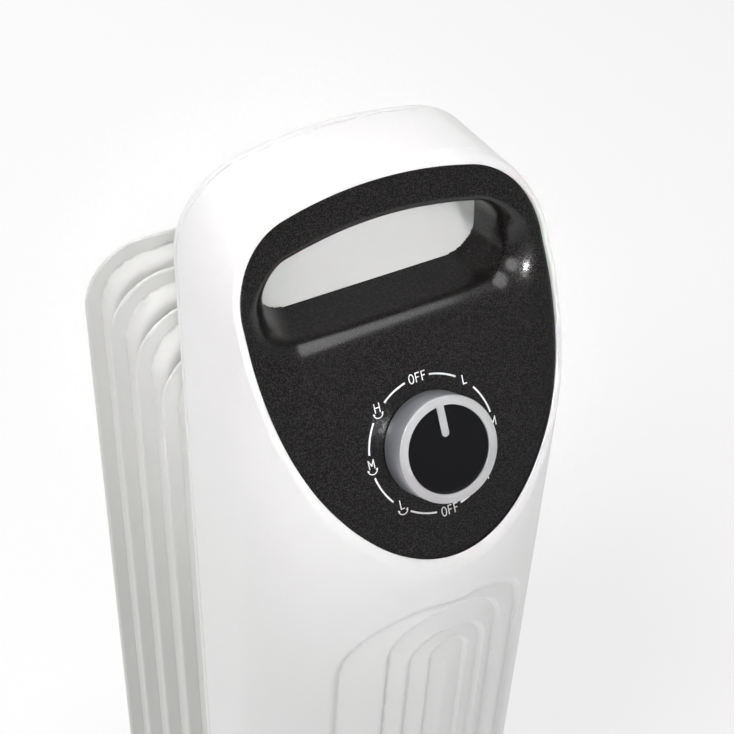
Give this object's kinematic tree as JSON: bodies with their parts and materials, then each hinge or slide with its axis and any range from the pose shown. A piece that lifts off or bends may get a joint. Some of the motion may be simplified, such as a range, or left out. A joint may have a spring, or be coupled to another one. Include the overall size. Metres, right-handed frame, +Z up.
{
  "type": "oil filled radiator heater",
  "caption": "Compact upright oil-filled radiator heater: white control tower with a sloping dial panel and carrying handle, a stack of oil fins behind it, swivel castors.",
  "frame": {"origin": "on the floor, under the centre of the heater's bounding box", "axes": "+Z up; -Y is the front, where the control panel and knob face; +X is to the right of a person facing the front"},
  "size_m": [0.23, 0.304, 0.64],
  "materials": {
    "housing_white": "satin moulded white ABS with a fine spark-eroded grain",
    "panel_anthracite": "anthracite lacquer with fine metallic fleck under a satin clear coat",
    "knob_silver": "satin silver paint on a moulded knob",
    "insert_black": "piano-black gloss insert",
    "enamel_white": "white powder coat on pressed steel with a light orange peel",
    "zinc_steel": "bright zinc plating",
    "electrical_ivory": "moulded switch housing",
    "black_plastic": "moulded black nylon",
    "castor_grey": "moulded dark grey nylon fork",
    "castor_black": "hard black plastic wheel with a fine tread texture",
    "gasket_red": "silicone"
  },
  "bodies": {
    "heater": {"front_cover": "housing_white", "rear_cover": "housing_white", "control_panel": "panel_anthracite", "handle_pocket": "housing_white", "rotary_switch": "electrical_ivory", "switch_bracket": "zinc_steel", "switch_screws": "zinc_steel", "thermal_cutout": "black_plastic", "tilt_switch": "electrical_ivory", "terminal_block": "electrical_ivory", "cord_gland": "black_plastic", "base_plate": "zinc_steel", "mounting_plate": "zinc_steel", "cover_screws": "zinc_steel", "plate_screws": "zinc_steel", "fin_1": "enamel_white", "fin_2": "enamel_white", "fin_3": "enamel_white", "fin_4": "enamel_white", "fin_5": "enamel_white", "upper_gallery": "enamel_white", "lower_gallery": "enamel_white", "heating_element": "zinc_steel", "element_gasket": "gasket_red", "filler_plug": "zinc_steel", "front_foot_bracket": "enamel_white", "rear_foot_bracket": "enamel_white", "castor_bushes": "black_plastic", "foot_bolts": "zinc_steel", "hook_bolts": "zinc_steel", "wing_nuts": "zinc_steel"},
    "knob": {"control_knob": "knob_silver", "knob_insert": "insert_black", "switch_shaft": "zinc_steel"},
    "castor_1": {"castor_fork_1": "castor_grey", "castor_axle_1": "zinc_steel"},
    "wheel_1": {"castor_wheel_1": "castor_black"},
    "castor_2": {"castor_fork_2": "castor_grey", "castor_axle_2": "zinc_steel"},
    "wheel_2": {"castor_wheel_2": "castor_black"},
    "castor_3": {"castor_fork_3": "castor_grey", "castor_axle_3": "zinc_steel"},
    "wheel_3": {"castor_wheel_3": "castor_black"},
    "castor_4": {"castor_fork_4": "castor_grey", "castor_axle_4": "zinc_steel"},
    "wheel_4": {"castor_wheel_4": "castor_black"}
  },
  "joints": [
    {"name": "knob_turn", "type": "hinge", "parent": "heater", "child": "knob", "pos_m": [0, -0.1245, 0.521], "axis": [0, -0.8988, 0.4384], "continuous": true},
    {"name": "castor_swivel_1", "type": "hinge", "parent": "heater", "child": "castor_1", "pos_m": [-0.1, -0.077, 0.055], "axis": [0, 0, 1], "continuous": true},
    {"name": "wheel_roll_1", "type": "hinge", "parent": "castor_1", "child": "wheel_1", "pos_m": [-0.1, -0.067, 0.02], "axis": [1, 0, 0], "continuous": true},
    {"name": "castor_swivel_2", "type": "hinge", "parent": "heater", "child": "castor_2", "pos_m": [0.1, -0.077, 0.055], "axis": [0, 0, 1], "continuous": true},
    {"name": "wheel_roll_2", "type": "hinge", "parent": "castor_2", "child": "wheel_2", "pos_m": [0.1, -0.067, 0.02], "axis": [1, 0, 0], "continuous": true},
    {"name": "castor_swivel_3", "type": "hinge", "parent": "heater", "child": "castor_3", "pos_m": [-0.1, 0.12, 0.055], "axis": [0, 0, 1], "continuous": true},
    {"name": "wheel_roll_3", "type": "hinge", "parent": "castor_3", "child": "wheel_3", "pos_m": [-0.1, 0.13, 0.02], "axis": [1, 0, 0], "continuous": true},
    {"name": "castor_swivel_4", "type": "hinge", "parent": "heater", "child": "castor_4", "pos_m": [0.1, 0.12, 0.055], "axis": [0, 0, 1], "continuous": true},
    {"name": "wheel_roll_4", "type": "hinge", "parent": "castor_4", "child": "wheel_4", "pos_m": [0.1, 0.13, 0.02], "axis": [1, 0, 0], "continuous": true}
  ]
}
